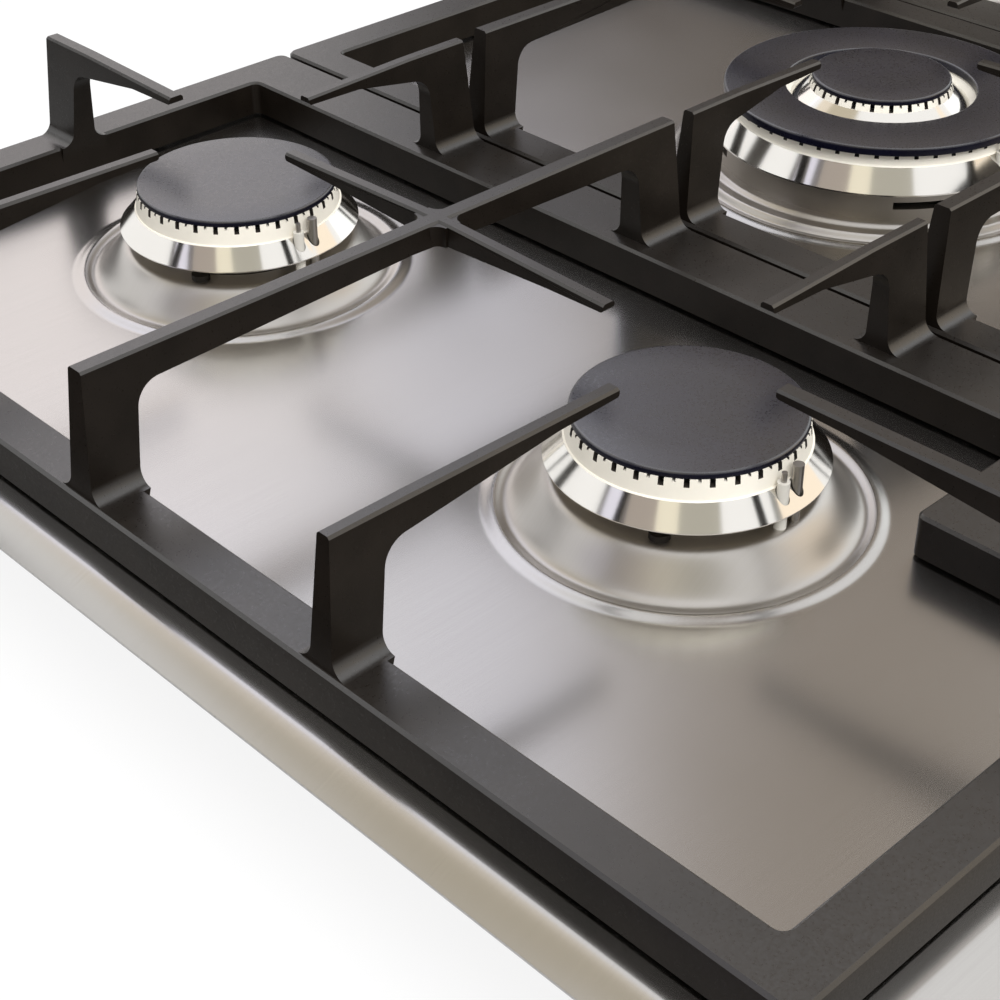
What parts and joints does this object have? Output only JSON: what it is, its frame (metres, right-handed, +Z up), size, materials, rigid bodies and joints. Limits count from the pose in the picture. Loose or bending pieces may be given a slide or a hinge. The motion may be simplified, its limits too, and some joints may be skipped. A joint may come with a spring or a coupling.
{
  "type": "gas cooktop",
  "caption": "Built-in gas cooktop: pressed steel top with raised burners, cast-iron pan supports in three pieces, front knobs, taps and a closed tray below.",
  "frame": {"origin": "centre of the whole part at the underside of the tray", "axes": "+X to the user's right, +Y to the back, +Z up; knobs at the front"},
  "size_m": [0.74, 0.5, 0.1024],
  "materials": {
    "stainless": "brushed stainless, satin",
    "tray_steel": "galvanised sheet",
    "cast_iron": "matt black enamel",
    "cap_enamel": "matt black enamel",
    "crown_alloy": "cast, skirt polished",
    "cup_alloy": "die cast",
    "ceramic": "glazed white",
    "probe_steel": "satin",
    "tap_alloy": "die cast",
    "brass": "machined",
    "pipe_alloy": "drawn tube",
    "screw_steel": "zinc plated",
    "knob_metal": "turned, satin",
    "rubber": "matt black",
    "plastic": "moulded",
    "foam": "closed-cell strip"
  },
  "bodies": {
    "hob": {"bottom_tray": "tray_steel", "burner_cup_front_left": "cup_alloy", "burner_cup_front_right": "cup_alloy", "burner_cup_rear_left": "cup_alloy", "burner_cup_rear_right": "cup_alloy", "burner_cup_wok": "cup_alloy", "burner_pipes": "pipe_alloy", "burner_screws": "screw_steel", "cable_gland": "plastic", "clamp_screws": "screw_steel", "fixing_clamps": "tray_steel", "gas_manifold": "pipe_alloy", "gas_tap_1": "tap_alloy", "gas_tap_2": "tap_alloy", "gas_tap_3": "tap_alloy", "gas_tap_4": "tap_alloy", "gas_tap_5": "tap_alloy", "ignition_module": "plastic", "injectors": "brass", "inlet_elbow": "brass", "inlet_washer": "rubber", "knob_seals": "rubber", "spark_electrodes": "ceramic", "spark_pins": "probe_steel", "thermocouples": "probe_steel", "top_plate": "stainless", "tray_nuts": "screw_steel", "worktop_seal": "foam"},
    "left_grate": {"grate_left": "cast_iron", "grate_feet_left": "rubber"},
    "centre_grate": {"grate_centre": "cast_iron", "grate_feet_centre": "rubber"},
    "right_grate": {"grate_right": "cast_iron", "grate_feet_right": "rubber"},
    "crown_front_left": {"burner_crown_front_left": "crown_alloy"},
    "cap_front_left": {"burner_cap_front_left": "cap_enamel"},
    "crown_rear_left": {"burner_crown_rear_left": "crown_alloy"},
    "cap_rear_left": {"burner_cap_rear_left": "cap_enamel"},
    "crown_front_right": {"burner_crown_front_right": "crown_alloy"},
    "cap_front_right": {"burner_cap_front_right": "cap_enamel"},
    "crown_rear_right": {"burner_crown_rear_right": "crown_alloy"},
    "cap_rear_right": {"burner_cap_rear_right": "cap_enamel"},
    "crown_wok": {"burner_crown_wok": "crown_alloy"},
    "cap_wok_ring": {"burner_cap_wok_ring": "cap_enamel"},
    "cap_wok_centre": {"burner_cap_wok_centre": "cap_enamel"},
    "plug_1": {"tap_plug_1": "brass"},
    "knob_and_spindle_1": {"spindle_1": "screw_steel", "knob_1": "knob_metal"},
    "plug_2": {"tap_plug_2": "brass"},
    "knob_and_spindle_2": {"spindle_2": "screw_steel", "knob_2": "knob_metal"},
    "plug_3": {"tap_plug_3": "brass"},
    "knob_and_spindle_3": {"spindle_3": "screw_steel", "knob_3": "knob_metal"},
    "plug_4": {"tap_plug_4": "brass"},
    "knob_and_spindle_4": {"spindle_4": "screw_steel", "knob_4": "knob_metal"},
    "plug_5": {"tap_plug_5": "brass"},
    "knob_and_spindle_5": {"spindle_5": "screw_steel", "knob_5": "knob_metal"}
  },
  "joints": [
    {"name": "left_grate_lift", "type": "slide", "parent": "hob", "child": "left_grate", "axis": [0, 0, 1], "range_m": [0, 0.06]},
    {"name": "centre_grate_lift", "type": "slide", "parent": "hob", "child": "centre_grate", "axis": [0, 0, 1], "range_m": [0, 0.06]},
    {"name": "right_grate_lift", "type": "slide", "parent": "hob", "child": "right_grate", "axis": [0, 0, 1], "range_m": [0, 0.06]},
    {"name": "crown_front_left_lift", "type": "slide", "parent": "hob", "child": "crown_front_left", "axis": [0, 0, 1], "range_m": [0, 0.005]},
    {"name": "cap_front_left_lift", "type": "slide", "parent": "crown_front_left", "child": "cap_front_left", "axis": [0, 0, 1], "range_m": [0, 0.005]},
    {"name": "crown_rear_left_lift", "type": "slide", "parent": "hob", "child": "crown_rear_left", "axis": [0, 0, 1], "range_m": [0, 0.005]},
    {"name": "cap_rear_left_lift", "type": "slide", "parent": "crown_rear_left", "child": "cap_rear_left", "axis": [0, 0, 1], "range_m": [0, 0.005]},
    {"name": "crown_front_right_lift", "type": "slide", "parent": "hob", "child": "crown_front_right", "axis": [0, 0, 1], "range_m": [0, 0.005]},
    {"name": "cap_front_right_lift", "type": "slide", "parent": "crown_front_right", "child": "cap_front_right", "axis": [0, 0, 1], "range_m": [0, 0.005]},
    {"name": "crown_rear_right_lift", "type": "slide", "parent": "hob", "child": "crown_rear_right", "axis": [0, 0, 1], "range_m": [0, 0.005]},
    {"name": "cap_rear_right_lift", "type": "slide", "parent": "crown_rear_right", "child": "cap_rear_right", "axis": [0, 0, 1], "range_m": [0, 0.005]},
    {"name": "crown_wok_lift", "type": "slide", "parent": "hob", "child": "crown_wok", "axis": [0, 0, 1], "range_m": [0, 0.005]},
    {"name": "cap_wok_ring_lift", "type": "slide", "parent": "crown_wok", "child": "cap_wok_ring", "axis": [0, 0, 1], "range_m": [0, 0.005]},
    {"name": "cap_wok_centre_lift", "type": "slide", "parent": "crown_wok", "child": "cap_wok_centre", "axis": [0, 0, 1], "range_m": [0, 0.005]},
    {"name": "knob_1_turn", "type": "hinge", "parent": "hob", "child": "plug_1", "pos_m": [-0.136, -0.201, 0.03], "axis": [0, 0, 1], "range_deg": [0, 240]},
    {"name": "knob_1_push", "type": "slide", "parent": "plug_1", "child": "knob_and_spindle_1", "axis": [0, 0, 1], "range_m": [-0.003, 0], "stiffness_N_per_m": 1500, "springref_m": 0.001},
    {"name": "knob_2_turn", "type": "hinge", "parent": "hob", "child": "plug_2", "pos_m": [-0.068, -0.201, 0.03], "axis": [0, 0, 1], "range_deg": [0, 240]},
    {"name": "knob_2_push", "type": "slide", "parent": "plug_2", "child": "knob_and_spindle_2", "axis": [0, 0, 1], "range_m": [-0.003, 0], "stiffness_N_per_m": 1500, "springref_m": 0.001},
    {"name": "knob_3_turn", "type": "hinge", "parent": "hob", "child": "plug_3", "pos_m": [0, -0.201, 0.03], "axis": [0, 0, 1], "range_deg": [0, 240]},
    {"name": "knob_3_push", "type": "slide", "parent": "plug_3", "child": "knob_and_spindle_3", "axis": [0, 0, 1], "range_m": [-0.003, 0], "stiffness_N_per_m": 1500, "springref_m": 0.001},
    {"name": "knob_4_turn", "type": "hinge", "parent": "hob", "child": "plug_4", "pos_m": [0.068, -0.201, 0.03], "axis": [0, 0, 1], "range_deg": [0, 240]},
    {"name": "knob_4_push", "type": "slide", "parent": "plug_4", "child": "knob_and_spindle_4", "axis": [0, 0, 1], "range_m": [-0.003, 0], "stiffness_N_per_m": 1500, "springref_m": 0.001},
    {"name": "knob_5_turn", "type": "hinge", "parent": "hob", "child": "plug_5", "pos_m": [0.136, -0.201, 0.03], "axis": [0, 0, 1], "range_deg": [0, 240]},
    {"name": "knob_5_push", "type": "slide", "parent": "plug_5", "child": "knob_and_spindle_5", "axis": [0, 0, 1], "range_m": [-0.003, 0], "stiffness_N_per_m": 1500, "springref_m": 0.001}
  ]
}
